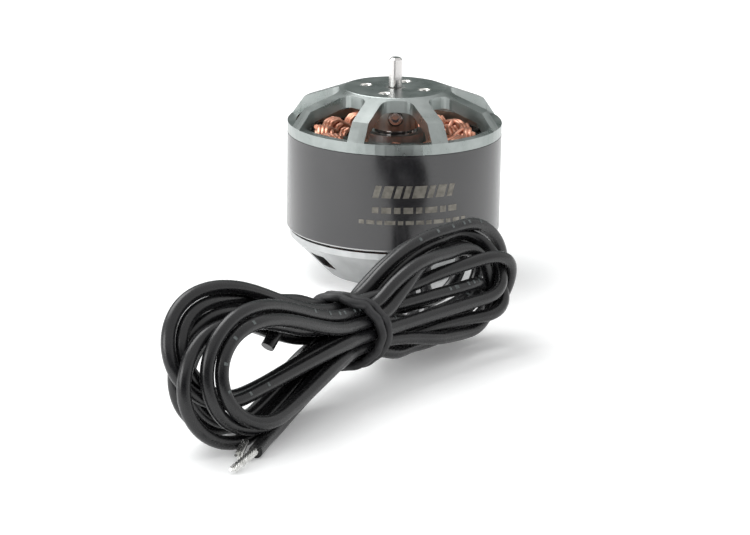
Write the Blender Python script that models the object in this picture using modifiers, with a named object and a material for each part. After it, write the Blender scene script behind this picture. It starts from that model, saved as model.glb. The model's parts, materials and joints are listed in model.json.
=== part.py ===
"""Brushless outrunner motor, 42 mm can, with three silicone leads wound into a tied hank.

The motor axis is world Z and the mounting face of the base is the plane z = 0.
Azimuths are measured from -Y (the front) towards +X. Sizes are in metres.
"""

import math

import bmesh
import bpy
from mathutils import Matrix, Vector

MM = 0.001

# Heights along the motor axis.
BASE_TOP = 8.6 * MM
CAN_BOTTOM = 9.0 * MM
CAN_TOP = 28.0 * MM
RIM_TOP = 30.2 * MM
HUB_TOP = 36.8 * MM
SHAFT_TOP = 42.7 * MM
STACK_BOTTOM = 11.0 * MM
STACK_TOP = 26.0 * MM
TUBE_TOP = 28.2 * MM

# Radii about the motor axis.
CAN_RADIUS = 21.0 * MM
CAN_BORE = 19.7 * MM
WINDOW_REACH = 19.3 * MM
HUB_RADIUS = 10.2 * MM
BOSS_RADIUS = 4.6 * MM
SHAFT_RADIUS = 2.0 * MM
SHAFT_TIP_RADIUS = 1.3 * MM
CLIP_GROOVE_RADIUS = 1.6 * MM
CLIP_GROOVE_BOTTOM = 1.15 * MM
CLIP_GROOVE_TOP = 1.85 * MM
SHAFT_BOTTOM = 0.4 * MM
BASE_RADIUS = 20.4 * MM
FOOT_RADIUS = 13.0 * MM
TUBE_RADIUS = 5.75 * MM
STATOR_RADIUS = 17.5 * MM

# Bell cap: spokes, propeller screws and set screws.
SPOKES = 8
SPOKE_WIDTH = 3.3 * MM
FIRST_SPOKE = math.radians(-20.5)
PROP_SCREWS = 4
PROP_PITCH_RADIUS = 6.0 * MM
PROP_HOLE_RADIUS = 1.25 * MM
FIRST_PROP_SCREW = math.radians(-19.0)
SET_SCREW_HEIGHT = 31.4 * MM
SET_SCREW_RADIUS = 1.4 * MM

# Base: mounting screws and openings in the cone.
MOUNT_HOLE_RADIUS = 1.25 * MM
MOUNT_PITCH_RADII = (8.0 * MM, 9.5 * MM)
BASE_OPENINGS = 6
LEAD_OPENING = math.radians(7.5)
LEAD_WINDOW = (10.6 * MM, 3.6 * MM)
BASE_WINDOW = (4.4 * MM, 3.0 * MM)

# Magnets, stator and bearings.
MAGNETS = 14
MAGNET_INNER = 18.0 * MM
MAGNET_OUTER = 19.6 * MM
MAGNET_BOTTOM = 10.6 * MM
MAGNET_TOP = 26.4 * MM
MAGNET_HALF_ANGLE = math.radians(10.6)
TEETH = 12
TOOTH_WIDTH = 2.6 * MM
YOKE_RADIUS = 9.2 * MM
SHOE_DEPTH = 1.2 * MM
SHOE_LIP = 0.7 * MM
SHOE_HALF_ANGLE = math.radians(12.6)
INSULATOR = 0.4 * MM
COIL_INNER = 9.8 * MM
COIL_OUTER = 15.8 * MM
COIL_OVERHANG = 2.4 * MM
BEARING_WIDTH = 4.0 * MM
BEARING_BORE = 2.05 * MM
BEARING_RADIUS = 4.45 * MM
BALLS = 7
BALL_RADIUS = 0.62 * MM
BALL_CIRCLE = 3.25 * MM
LOWER_BEARING = 2.4 * MM
UPPER_BEARING = 24.15 * MM

# Leads: 18 gauge silicone wire, wound into a hank that is tied at its waist.
LEAD_RADIUS = 1.15 * MM
LEAD_PITCH = 3.2 * MM
LEAD_HEIGHT = 4.2 * MM
HANK_CENTRE = Vector((-5.0 * MM, -70.0 * MM, 0.0))
HANK_HEADING = math.radians(227.0)
HANK_HALF_THICKNESS = 7.0 * MM
WAIST_HALF_THICKNESS = 5.2 * MM
WAIST_MIDDLE = 9.9 * MM
TIE_RADIUS = 0.8 * MM
TIP_RADIUS = 0.55 * MM

# Stripped lead ends in mm along the hank, aside and up: insulated from the first point to the second,
# bare from there to the third.
TAILS = {
    "a": ((33.0, -8.9, 1.6), (36.2, -9.6, 2.0), (43.3, -14.7, 1.0)),
    "b": ((30.0, -11.0, 1.3), (40.0, -15.0, 1.2), (47.5, -18.0, 0.65)),
}

GAP = 0.3 * MM
FINE = 1e-5

PARTS = "brushless_outrunner_motor"
CUTTERS = "cutters"


# ---------------------------------------------------------------- helpers


def clear_scene():
    for thing in list(bpy.data.objects):
        bpy.data.objects.remove(thing, do_unlink=True)


def new_collection(name):
    collection = bpy.data.collections.new(name)
    bpy.context.scene.collection.children.link(collection)
    return collection


def material(name, colour, roughness, metallic):
    made = bpy.data.materials.new(name)
    made.use_nodes = True
    shader = made.node_tree.nodes["Principled BSDF"]
    shader.inputs["Base Color"].default_value = (*colour, 1.0)
    shader.inputs["Roughness"].default_value = roughness
    shader.inputs["Metallic"].default_value = metallic
    return made


def heading(azimuth):
    """Unit vector that points outwards at an azimuth measured from -Y towards +X."""
    return Vector((math.sin(azimuth), -math.cos(azimuth), 0.0))


def turn_to(azimuth):
    """Rotation about Z that takes local +X to the azimuth's direction."""
    return azimuth - math.pi / 2


def add_object(name, data, collection, look=None):
    made = bpy.data.objects.new(name, data)
    collection.objects.link(made)
    if look is not None:
        data.materials.append(look)
    return made


def mesh_object(name, build, collection, look=None):
    """Object whose mesh is filled in by build(bmesh)."""
    mesh = bpy.data.meshes.new(name)
    shape = bmesh.new()
    build(shape)
    shape.to_mesh(mesh)
    shape.free()
    return add_object(name, mesh, collection, look)


def turned(name, profile, steps, collection, look, closed=True):
    """Solid of revolution about Z. The profile runs down its outer side, top to bottom."""
    points = [(radius, 0.0, height) for radius, height in profile]
    count = len(points)
    last = count if closed else count - 1
    edges = [(i, (i + 1) % count) for i in range(last)]
    mesh = bpy.data.meshes.new(name)
    mesh.from_pydata(points, edges, [])
    made = add_object(name, mesh, collection, look)
    screw = made.modifiers.new("turn", "SCREW")
    screw.axis = "Z"
    screw.angle = math.tau
    screw.steps = steps
    screw.render_steps = steps
    screw.use_merge_vertices = True
    screw.merge_threshold = FINE
    screw.use_smooth_shade = True
    return made


def ring(name, inner, outer, bottom, top, steps, collection, look):
    profile = [(outer, top), (outer, bottom), (inner, bottom), (inner, top)]
    return turned(name, profile, steps, collection, look)


def extruded(name, outlines, bottom, top, collection, look=None):
    """Flat outlines in XY, the first one solid and the others holes, raised from bottom to top."""
    curve = bpy.data.curves.new(name, "CURVE")
    curve.dimensions = "2D"
    curve.fill_mode = "BOTH"
    curve.extrude = (top - bottom) / 2
    for outline in outlines:
        spline = curve.splines.new("POLY")
        spline.points.add(len(outline) - 1)
        for point, (x, y) in zip(spline.points, outline):
            point.co = (x, y, 0.0, 1.0)
        spline.use_cyclic_u = True
    made = add_object(name, curve, collection, look)
    made.location.z = (top + bottom) / 2
    return made


def as_mesh(thing, collection):
    """Replace a curve, or an object with modifiers, by a plain welded mesh in the same place."""
    bpy.context.view_layer.update()
    graph = bpy.context.evaluated_depsgraph_get()
    mesh = bpy.data.meshes.new_from_object(thing.evaluated_get(graph))
    shape = bmesh.new()
    shape.from_mesh(mesh)
    bmesh.ops.remove_doubles(shape, verts=shape.verts, dist=FINE)
    bmesh.ops.recalc_face_normals(shape, faces=shape.faces)
    shape.to_mesh(mesh)
    shape.free()
    name = thing.name
    place = thing.matrix_world.copy()
    bpy.data.objects.remove(thing)
    made = add_object(name, mesh, collection)
    mesh.name = name
    made.matrix_world = place
    return made


def hide_cutter(cutter):
    cutter.hide_render = True
    cutter.display_type = "WIRE"


def cut(thing, cutter, operation="DIFFERENCE"):
    boolean = thing.modifiers.new(cutter.name, "BOOLEAN")
    boolean.operation = operation
    boolean.object = cutter
    boolean.solver = "EXACT"


def rod_cutter(name, rods, collection):
    """One mesh of separate cylinders, each given as (middle, direction, radius, length)."""

    def build(shape):
        for middle, direction, radius, length in rods:
            turn = direction.to_track_quat("Z", "Y").to_matrix().to_4x4()
            bmesh.ops.create_cone(
                shape,
                cap_ends=True,
                segments=16,
                radius1=radius,
                radius2=radius,
                depth=length,
                matrix=Matrix.Translation(middle) @ turn,
            )

    made = mesh_object(name, build, collection)
    hide_cutter(made)
    return made


def wire(name, points, radius, collection, look, sides=2):
    """Round cord along a list of points."""
    curve = bpy.data.curves.new(name, "CURVE")
    curve.dimensions = "3D"
    curve.bevel_depth = radius
    curve.bevel_resolution = sides
    curve.use_fill_caps = True
    spline = curve.splines.new("POLY")
    spline.points.add(len(points) - 1)
    for slot, point in zip(spline.points, points):
        slot.co = (*point, 1.0)
    return add_object(name, curve, collection, look)


def smooth_route(route, steps):
    """Points on a Catmull-Rom curve through the route, steps to each stretch."""
    ends = [2 * route[0] - route[1]] + list(route) + [2 * route[-1] - route[-2]]
    points = []
    for i in range(1, len(ends) - 2):
        before, start, stop, after = ends[i - 1 : i + 3]
        for k in range(steps):
            t = k / steps
            slope = stop - before
            bend = 2 * before - 5 * start + 4 * stop - after
            twist = 3 * start - before - 3 * stop + after
            points.append(0.5 * (2 * start + slope * t + bend * t * t + twist * t**3))
    points.append(route[-1])
    return points


def rounded(outline, radii, steps=4):
    """Replace each corner of a polygon by an arc of its own radius."""
    result = []
    count = len(outline)
    for i, corner in enumerate(outline):
        here = Vector(corner)
        back = (Vector(outline[i - 1]) - here).normalized()
        ahead = (Vector(outline[(i + 1) % count]) - here).normalized()
        radius = radii[i]
        if radius == 0:
            result.append(tuple(here))
            continue
        half = back.angle(ahead) / 2
        middle = here + (back + ahead).normalized() * radius / math.sin(half)
        start = here + back * radius / math.tan(half) - middle
        stop = here + ahead * radius / math.tan(half) - middle
        first = math.atan2(start.y, start.x)
        sweep = (math.atan2(stop.y, stop.x) - first + math.pi) % math.tau - math.pi
        for k in range(steps + 1):
            angle = first + sweep * k / steps
            result.append((middle.x + radius * math.cos(angle), middle.y + radius * math.sin(angle)))
    return result


def on_circle(radius, angle):
    """Point in XY on a circle about the origin, angle from +X."""
    return (radius * math.cos(angle), radius * math.sin(angle))


def arc(radius, start, stop, steps):
    return [on_circle(radius, start + (stop - start) * k / steps) for k in range(steps + 1)]


# ---------------------------------------------------------------- rotor


def window_outline(outer, inner, inner_corner, spoke):
    """Gap between two spokes of a given width, centred on +X."""
    half_pitch = math.pi / SPOKES
    apex = spoke / 2 / math.sin(half_pitch)
    half_width = (inner - apex) * math.tan(half_pitch)
    reach = half_pitch - math.asin(spoke / 2 / outer)
    outside = arc(outer, -reach, reach, 6)
    corners = [(inner, -half_width)] + outside + [(inner, half_width)]
    radii = [inner_corner] + [0.0] * len(outside) + [inner_corner]
    return rounded(corners, radii)


def window_cutter(name, outline, bottom, collection):
    """All the windows between the spokes as one cutter."""
    one = extruded(name, [outline], bottom, HUB_TOP + 2 * MM, collection)
    template = as_mesh(one, collection)
    mesh = bpy.data.meshes.new(name)
    shape = bmesh.new()
    for k in range(SPOKES):
        first = len(shape.verts)
        shape.from_mesh(template.data)
        shape.verts.ensure_lookup_table()
        azimuth = FIRST_SPOKE + math.tau * (k + 0.5) / SPOKES
        bmesh.ops.rotate(
            shape,
            verts=shape.verts[first:],
            cent=(0.0, 0.0, 0.0),
            matrix=Matrix.Rotation(turn_to(azimuth), 3, "Z"),
        )
    shape.to_mesh(mesh)
    shape.free()
    height = template.location.z
    bpy.data.objects.remove(template)
    made = add_object(name + "_all", mesh, collection)
    made.location.z = height
    hide_cutter(made)
    return made


def set_screw_headings():
    """The two set screws point through the middles of two windows."""
    first = FIRST_SPOKE + math.pi / SPOKES
    return [heading(first), heading(first + 3 * math.tau / SPOKES)]


def add_bell_cap(parts, cutters, look):
    bore = SHAFT_RADIUS + 0.04 * MM
    profile = [
        (bore, HUB_TOP),
        (HUB_RADIUS - 0.2 * MM, HUB_TOP),
        (HUB_RADIUS, HUB_TOP - 0.1 * MM),
        (18.6 * MM, 33.6 * MM),
        (20.8 * MM, 30.5 * MM),
        (CAN_RADIUS, RIM_TOP),
        (CAN_RADIUS, CAN_TOP + 0.1 * MM),
        (CAN_BORE - 0.1 * MM, CAN_TOP + 0.1 * MM),
        (CAN_BORE - 0.1 * MM, 26.9 * MM),
        (18.7 * MM, 26.9 * MM),
        (18.7 * MM, 29.6 * MM),
        (17.6 * MM, 31.6 * MM),
        (HUB_RADIUS, 34.4 * MM),
        (BOSS_RADIUS, 34.2 * MM),
        (BOSS_RADIUS, 29.0 * MM),
        (bore, 29.0 * MM),
    ]
    cap = turned("bell_cap", profile, 72, parts, look)
    inner = HUB_RADIUS + 0.7 * MM
    window = window_outline(WINDOW_REACH, inner, 2.0 * MM, SPOKE_WIDTH)
    cut(cap, window_cutter("windows", window, 28.6 * MM, cutters))
    rim_step = window_outline(24.0 * MM, 15.0 * MM, 0.0, SPOKE_WIDTH + 0.1 * MM)
    cut(cap, window_cutter("rim_step", rim_step, RIM_TOP - 0.05 * MM, cutters))
    screws = []
    for k in range(PROP_SCREWS):
        centre = heading(FIRST_PROP_SCREW + math.tau * k / PROP_SCREWS) * PROP_PITCH_RADIUS
        centre.z = HUB_TOP
        screws.append((centre, Vector((0.0, 0.0, 1.0)), PROP_HOLE_RADIUS, 8.0 * MM))
    for direction in set_screw_headings():
        centre = direction * BOSS_RADIUS
        centre.z = SET_SCREW_HEIGHT
        screws.append((centre, direction, SET_SCREW_RADIUS + 0.1 * MM, 6.0 * MM))
    cut(cap, rod_cutter("cap_holes", screws, cutters))


def add_set_screws(parts, look):
    length = 2.4 * MM
    start = SHAFT_RADIUS + 0.1 * MM
    socket = 0.75 * MM
    for k, direction in enumerate(set_screw_headings(), 1):
        profile = [
            (0.0, start + length - 1.2 * MM),
            (socket, start + length - 1.2 * MM),
            (socket, start + length),
            (SET_SCREW_RADIUS - 0.2 * MM, start + length),
            (SET_SCREW_RADIUS, start + length - 0.2 * MM),
            (SET_SCREW_RADIUS, start),
            (0.0, start),
        ]
        screw = turned(f"set_screw_{k}", profile, 18, parts, look, closed=False)
        screw.rotation_euler = direction.to_track_quat("Z", "Y").to_euler()
        screw.location.z = SET_SCREW_HEIGHT


def add_flux_ring(parts, look):
    chamfer = 0.4 * MM
    profile = [
        (CAN_RADIUS, CAN_TOP),
        (CAN_RADIUS, CAN_BOTTOM + chamfer),
        (CAN_RADIUS - chamfer, CAN_BOTTOM),
        (CAN_BORE, CAN_BOTTOM),
        (CAN_BORE, CAN_TOP),
    ]
    turned("flux_ring", profile, 72, parts, look)


def add_magnets(parts, look):
    half = MAGNET_HALF_ANGLE
    outline = arc(MAGNET_OUTER, -half, half, 4) + arc(MAGNET_INNER, half, -half, 4)
    first = extruded("magnet_01", [outline], MAGNET_BOTTOM, MAGNET_TOP, parts, look)
    for k in range(MAGNETS):
        magnet = first
        if k > 0:
            magnet = add_object(f"magnet_{k + 1:02d}", first.data, parts)
            magnet.location = first.location
        magnet.rotation_euler.z = turn_to(math.tau * k / MAGNETS)


def add_shaft(parts, look):
    chamfer = 0.4 * MM
    shoulder = HUB_TOP - 0.2 * MM
    profile = [
        (0.0, SHAFT_TOP),
        (SHAFT_TIP_RADIUS - chamfer, SHAFT_TOP),
        (SHAFT_TIP_RADIUS, SHAFT_TOP - chamfer),
        (SHAFT_TIP_RADIUS, shoulder),
        (SHAFT_RADIUS, shoulder),
        (SHAFT_RADIUS, CLIP_GROOVE_TOP),
        (CLIP_GROOVE_RADIUS, CLIP_GROOVE_TOP),
        (CLIP_GROOVE_RADIUS, CLIP_GROOVE_BOTTOM),
        (SHAFT_RADIUS, CLIP_GROOVE_BOTTOM),
        (SHAFT_RADIUS, SHAFT_BOTTOM + 0.3 * MM),
        (SHAFT_RADIUS - 0.3 * MM, SHAFT_BOTTOM),
        (0.0, SHAFT_BOTTOM),
    ]
    turned("shaft", profile, 24, parts, look, closed=False)


def add_shaft_clip(parts, look):
    """Open retaining ring in the groove at the shaft's lower end."""
    opening = math.radians(40.0)
    play = 0.1 * MM
    outline = arc(3.1 * MM, opening, math.tau - opening, 20)
    outline += arc(CLIP_GROOVE_RADIUS + play / 2, math.tau - opening, opening, 14)
    extruded("shaft_clip", [outline], CLIP_GROOVE_BOTTOM + play, CLIP_GROOVE_TOP - play, parts, look)


def add_shims(parts, look):
    radius = 2.9 * MM
    ring("lower_shim", BEARING_BORE, radius, 1.95 * MM, 2.3 * MM, 24, parts, look)
    ring("upper_shim", BEARING_BORE, radius, 28.3 * MM, 28.9 * MM, 24, parts, look)


# ---------------------------------------------------------------- bearings


def add_bearing(label, bottom, parts, cutters, race_look, cage_look):
    top = bottom + BEARING_WIDTH
    ring(f"{label}_bearing_inner_race", BEARING_BORE, 2.55 * MM, bottom, top, 24, parts, race_look)
    ring(f"{label}_bearing_outer_race", 3.95 * MM, BEARING_RADIUS, bottom, top, 32, parts, race_look)
    middle = (bottom + top) / 2
    half_height = 0.9 * MM
    name = f"{label}_bearing_balls"
    profile = [
        (3.45 * MM, half_height),
        (3.45 * MM, -half_height),
        (3.05 * MM, -half_height),
        (3.05 * MM, half_height),
    ]
    cage = turned(name, profile, 21, parts, cage_look)
    cage.location.z = middle

    def build(shape):
        for k in range(BALLS):
            centre = heading(math.tau * k / BALLS) * BALL_CIRCLE
            bmesh.ops.create_uvsphere(
                shape,
                u_segments=6,
                v_segments=5,
                radius=BALL_RADIUS,
                matrix=Matrix.Translation(centre),
            )

    balls = mesh_object(f"{label}_balls", build, cutters)
    balls.location.z = middle
    hide_cutter(balls)
    cut(cage, balls, "UNION")


# ---------------------------------------------------------------- stator and base


def add_base(parts, cutters, look):
    floor = 2.1 * MM
    seat = BEARING_RADIUS + 0.1 * MM
    ledge = 3.7 * MM
    profile = [
        (BASE_RADIUS, BASE_TOP),
        (BASE_RADIUS, FOOT_RADIUS * 0.57),
        (FOOT_RADIUS, 0.25 * MM),
        (FOOT_RADIUS - 0.25 * MM, 0.0),
        (seat, 0.0),
        (seat, LOWER_BEARING + BEARING_WIDTH + 0.15 * MM),
        (ledge, LOWER_BEARING + BEARING_WIDTH + 0.15 * MM),
        (ledge, UPPER_BEARING - 0.15 * MM),
        (seat, UPPER_BEARING - 0.15 * MM),
        (seat, TUBE_TOP),
        (TUBE_RADIUS, TUBE_TOP),
        (TUBE_RADIUS, floor + 0.6 * MM),
        (TUBE_RADIUS + 0.6 * MM, floor),
        (12.7 * MM, floor),
        (19.2 * MM, BASE_TOP),
    ]
    base = turned("base", profile, 48, parts, look)
    cut(base, opening_cutter(cutters))
    holes = []
    for k in range(4):
        centre = heading(math.radians(45.0) + math.pi / 2 * k) * MOUNT_PITCH_RADII[k % 2]
        holes.append((centre, Vector((0.0, 0.0, 1.0)), MOUNT_HOLE_RADIUS, 10.0 * MM))
    cut(base, rod_cutter("mount_holes", holes, cutters))


def opening_cutter(cutters):
    """Cooling openings through the cone, one of them wider for the leads."""

    def build(shape):
        for k in range(BASE_OPENINGS):
            azimuth = LEAD_OPENING + math.tau * k / BASE_OPENINGS
            width, height = LEAD_WINDOW if k == 0 else BASE_WINDOW
            middle = heading(azimuth) * 17.0 * MM
            middle.z = 4.2 * MM
            size = Matrix.Diagonal((9.0 * MM, width, height, 1.0))
            turn = Matrix.Rotation(turn_to(azimuth), 4, "Z")
            bmesh.ops.create_cube(shape, size=1.0, matrix=Matrix.Translation(middle) @ turn @ size)

    made = mesh_object("cone_openings", build, cutters)
    hide_cutter(made)
    return made


def stator_outline(shrink):
    """Twelve T-shaped teeth around a yoke."""
    half_tooth = TOOTH_WIDTH / 2 - shrink
    tip = STATOR_RADIUS - shrink
    shoe = STATOR_RADIUS - SHOE_DEPTH + shrink
    lip = shoe + SHOE_DEPTH - SHOE_LIP
    yoke = YOKE_RADIUS - shrink
    root = math.asin(half_tooth / yoke)
    neck = math.asin(half_tooth / shoe)
    reach = SHOE_HALF_ANGLE - shrink / STATOR_RADIUS
    outline = []
    for k in range(TEETH):
        middle = math.tau * k / TEETH
        outline.append(on_circle(yoke, middle - root))
        outline.append(on_circle(shoe, middle - neck))
        outline.append(on_circle(lip, middle - reach))
        outline += arc(tip, middle - reach, middle + reach, 4)
        outline.append(on_circle(lip, middle + reach))
        outline.append(on_circle(shoe, middle + neck))
        outline.append(on_circle(yoke, middle + root))
    return outline


def add_stator(parts, core_look, board_look):
    bore = arc(TUBE_RADIUS + 0.1 * MM, 0.0, math.tau, 40)[:-1]
    core = stator_outline(0.0)
    board = stator_outline(0.15 * MM)
    turn = turn_to(0.0)
    gap = 0.05 * MM
    extruded("stator_core", [core, bore], STACK_BOTTOM, STACK_TOP, parts, core_look).rotation_euler.z = turn
    low = STACK_BOTTOM - gap
    high = STACK_TOP + gap
    extruded("lower_insulator", [board, bore], low - INSULATOR, low, parts, board_look).rotation_euler.z = turn
    extruded("upper_insulator", [board, bore], high, high + INSULATOR, parts, board_look).rotation_euler.z = turn


def add_coils(parts, cutters, look):
    """A tapered, bevelled block round each tooth, with the tooth's slot through it."""
    overhang = INSULATOR + COIL_OVERHANG
    half_height = (STACK_TOP - STACK_BOTTOM) / 2 + overhang
    middle = (STACK_TOP + STACK_BOTTOM) / 2
    half_slot = math.tan(math.pi / TEETH)

    def block(shape):
        bmesh.ops.create_cube(shape, size=2.0)
        for vert in shape.verts:
            radius = COIL_INNER if vert.co.x < 0 else COIL_OUTER
            width = radius * half_slot - 0.2 * MM
            vert.co = Vector((radius, vert.co.y * width, vert.co.z * half_height))

    coil = mesh_object("coil_01", block, parts, look)
    coil.location.z = middle
    bevel = coil.modifiers.new("round", "BEVEL")
    bevel.width = 0.8 * MM
    bevel.segments = 2

    def slot(shape):
        height = half_height - overhang + INSULATOR + 0.1 * MM
        size = Matrix.Diagonal((20.0 * MM, TOOTH_WIDTH + 0.2 * MM, 2 * height, 1.0))
        bmesh.ops.create_cube(shape, size=1.0, matrix=Matrix.Translation((13.0 * MM, 0.0, 0.0)) @ size)

    tooth = mesh_object("tooth_slot", slot, cutters)
    tooth.location.z = middle
    hide_cutter(tooth)
    cut(coil, tooth)
    first = as_mesh(coil, parts)
    for k in range(TEETH):
        coil = first
        if k > 0:
            coil = add_object(f"coil_{k + 1:02d}", first.data, parts)
            coil.location = first.location
        coil.rotation_euler.z = turn_to(math.tau * k / TEETH)


def add_grommet(parts, cutters, look):
    def build(shape):
        size = Matrix.Diagonal((4.2 * MM, 10.2 * MM, 3.2 * MM, 1.0))
        bmesh.ops.create_cube(shape, size=1.0, matrix=size)

    grommet = mesh_object("lead_grommet", build, parts, look)
    middle = heading(LEAD_OPENING) * 17.2 * MM
    grommet.location = (middle.x, middle.y, LEAD_HEIGHT)
    grommet.rotation_euler.z = turn_to(LEAD_OPENING)
    bevel = grommet.modifiers.new("soften", "BEVEL")
    bevel.width = 0.5 * MM
    bevel.segments = 2
    across = lead_side()
    rods = []
    for k in (-1, 0, 1):
        centre = middle + across * LEAD_PITCH * k
        centre.z = LEAD_HEIGHT
        rods.append((centre, heading(LEAD_OPENING), LEAD_RADIUS + 0.15 * MM, 12.0 * MM))
    cut(grommet, rod_cutter("grommet_holes", rods, cutters))


# ---------------------------------------------------------------- leads and hank


def lead_side():
    """Unit vector across the three leads where they leave the base."""
    return Vector((math.cos(LEAD_OPENING), math.sin(LEAD_OPENING), 0.0))


def hank_place(along, aside, height):
    """World point given along the hank, aside from its middle plane and above the floor."""
    u = Vector((math.cos(HANK_HEADING), math.sin(HANK_HEADING), 0.0))
    n = Vector((u.y, -u.x, 0.0))
    return HANK_CENTRE + u * along + n * aside + Vector((0.0, 0.0, height))


def add_leads(parts, look):
    """The stretch of each lead from the stator, through the grommet, to the back of the hank."""
    out = heading(LEAD_OPENING)
    across = lead_side()
    for k, letter in zip((-1, 0, 1), "abc"):
        side = across * LEAD_PITCH * k
        lift = Vector((0.0, 0.0, LEAD_HEIGHT))
        rest = Vector((0.0, 0.0, LEAD_RADIUS + 0.15 * MM))
        meet = hank_place((-22.3 - 4.3 * k) * MM, HANK_HALF_THICKNESS + 1.3 * MM, 3.6 * MM)
        route = [
            out * 12.0 * MM + side + lift,
            out * 16.0 * MM + side + lift,
            out * 20.0 * MM + side + lift,
            out * 24.0 * MM + side + lift * 0.85,
            out * 31.0 * MM + side + rest,
            meet + Vector((0.0, 9.0 * MM, -1.6 * MM)),
            meet,
        ]
        wire(f"lead_{letter}", smooth_route(route, 3), LEAD_RADIUS, parts, look)


def hank_outline():
    """Side view of the hank, wide at both loops and narrow at the tie."""
    return [
        (47.0, 14.0),
        (42.0, 23.6),
        (28.0, 26.6),
        (12.0, 20.4),
        (0.0, 15.6),
        (-10.0, 19.2),
        (-22.0, 23.0),
        (-32.5, 20.0),
        (-36.0, 12.0),
        (-32.0, 4.0),
        (-20.0, 1.1),
        (-9.0, 2.6),
        (0.0, 4.2),
        (10.0, 2.8),
        (24.0, 1.1),
        (40.0, 4.2),
    ]


def add_hank(parts, cutters, look):
    """The wound leads as one solid of their outer shape."""
    curve = bpy.data.curves.new("lead_hank", "CURVE")
    curve.dimensions = "2D"
    curve.fill_mode = "BOTH"
    curve.extrude = HANK_HALF_THICKNESS
    curve.resolution_u = 4
    spline = curve.splines.new("BEZIER")
    points = hank_outline()
    spline.bezier_points.add(len(points) - 1)
    for slot, (along, height) in zip(spline.bezier_points, points):
        slot.co = (along * MM, height * MM, 0.0)
        slot.handle_left_type = "AUTO"
        slot.handle_right_type = "AUTO"
    spline.use_cyclic_u = True
    hank = add_object("lead_hank", curve, parts)
    upright = Matrix.Rotation(math.pi / 2, 4, "X")
    hank.matrix_world = Matrix.Translation(HANK_CENTRE) @ Matrix.Rotation(HANK_HEADING, 4, "Z") @ upright
    hank = as_mesh(hank, parts)
    hank.data.materials.append(look)
    neck = 20.0 * MM
    rods = []
    for side in (-1, 1):
        centre = hank_place(0.0, side * (WAIST_HALF_THICKNESS + neck), WAIST_MIDDLE)
        rods.append((centre, Vector((0.0, 0.0, 1.0)), neck, 60.0 * MM))
    cut(hank, rod_cutter("neck", rods, cutters))


def add_tie(parts, look):
    """A cord wound twice round the waist, on a path between an oval and a rectangle."""
    half_width = WAIST_HALF_THICKNESS + 1.5 * MM
    half_height = 7.2 * MM
    turns = 2
    steps = 20
    power = 0.25
    points = []
    for k in range(turns * steps + 1):
        angle = math.tau * k / steps - math.pi / 2
        across = math.copysign(abs(math.cos(angle)) ** power, math.cos(angle))
        above = math.copysign(abs(math.sin(angle)) ** power, math.sin(angle))
        along = (k / steps - turns / 2) * (2 * TIE_RADIUS + 0.1 * MM)
        points.append(hank_place(along, across * half_width, WAIST_MIDDLE + above * half_height))
    wire("hank_tie", points, TIE_RADIUS, parts, look)


def add_tails(parts, lead_look, tin_look):
    """The stripped ends of two leads, on the floor at the front of the hank's left loops."""
    for letter, stops in TAILS.items():
        start, bare, end = [hank_place(*(value * MM for value in stop)) for stop in stops]
        wire(f"lead_{letter}_end", [start, bare], LEAD_RADIUS, parts, lead_look)
        root = bare + (end - bare).normalized() * GAP
        wire(f"tinned_tip_{letter}", [root, end], TIP_RADIUS, parts, tin_look)


# ---------------------------------------------------------------- assembly


def main():
    clear_scene()
    parts = new_collection(PARTS)
    cutters = new_collection(CUTTERS)

    anodised = material("anodised_aluminium", (0.36, 0.38, 0.38), 0.34, 1.0)
    black_can = material("black_oxide_steel", (0.02, 0.02, 0.022), 0.22, 0.6)
    steel = material("ground_steel", (0.62, 0.62, 0.64), 0.2, 1.0)
    nickel = material("nickel_plate", (0.7, 0.69, 0.66), 0.25, 1.0)
    lamination = material("lamination_steel", (0.12, 0.12, 0.13), 0.5, 0.8)
    board = material("insulating_board", (0.03, 0.05, 0.04), 0.6, 0.0)
    copper = material("enamelled_copper", (0.8, 0.28, 0.14), 0.3, 1.0)
    brass = material("cage_brass", (0.75, 0.55, 0.25), 0.35, 1.0)
    rubber = material("black_rubber", (0.015, 0.015, 0.016), 0.6, 0.0)
    silicone = material("black_silicone", (0.02, 0.02, 0.021), 0.42, 0.0)
    tin = material("tinned_copper", (0.75, 0.75, 0.73), 0.25, 1.0)

    add_bell_cap(parts, cutters, anodised)
    add_set_screws(parts, steel)
    add_flux_ring(parts, black_can)
    add_magnets(parts, nickel)
    add_shaft(parts, steel)
    add_shaft_clip(parts, steel)
    add_shims(parts, steel)
    add_bearing("lower", LOWER_BEARING, parts, cutters, steel, brass)
    add_bearing("upper", UPPER_BEARING, parts, cutters, steel, brass)
    add_base(parts, cutters, anodised)
    add_stator(parts, lamination, board)
    add_coils(parts, cutters, copper)
    add_grommet(parts, cutters, rubber)
    add_leads(parts, silicone)
    add_hank(parts, cutters, silicone)
    add_tie(parts, rubber)
    add_tails(parts, silicone, tin)


main()
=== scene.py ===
"""Looks of a brushless outrunner motor and its hank of silicone leads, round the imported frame.

Metres, +Z up. Azimuths run from -Y, the front, towards +X. Places in the hank are given along it
(positive at the near, left loops), aside from its middle plane (positive towards the motor) and up.
"""

import json
import math

import bmesh
import bpy
import numpy as np
from mathutils import Matrix, Vector


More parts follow.
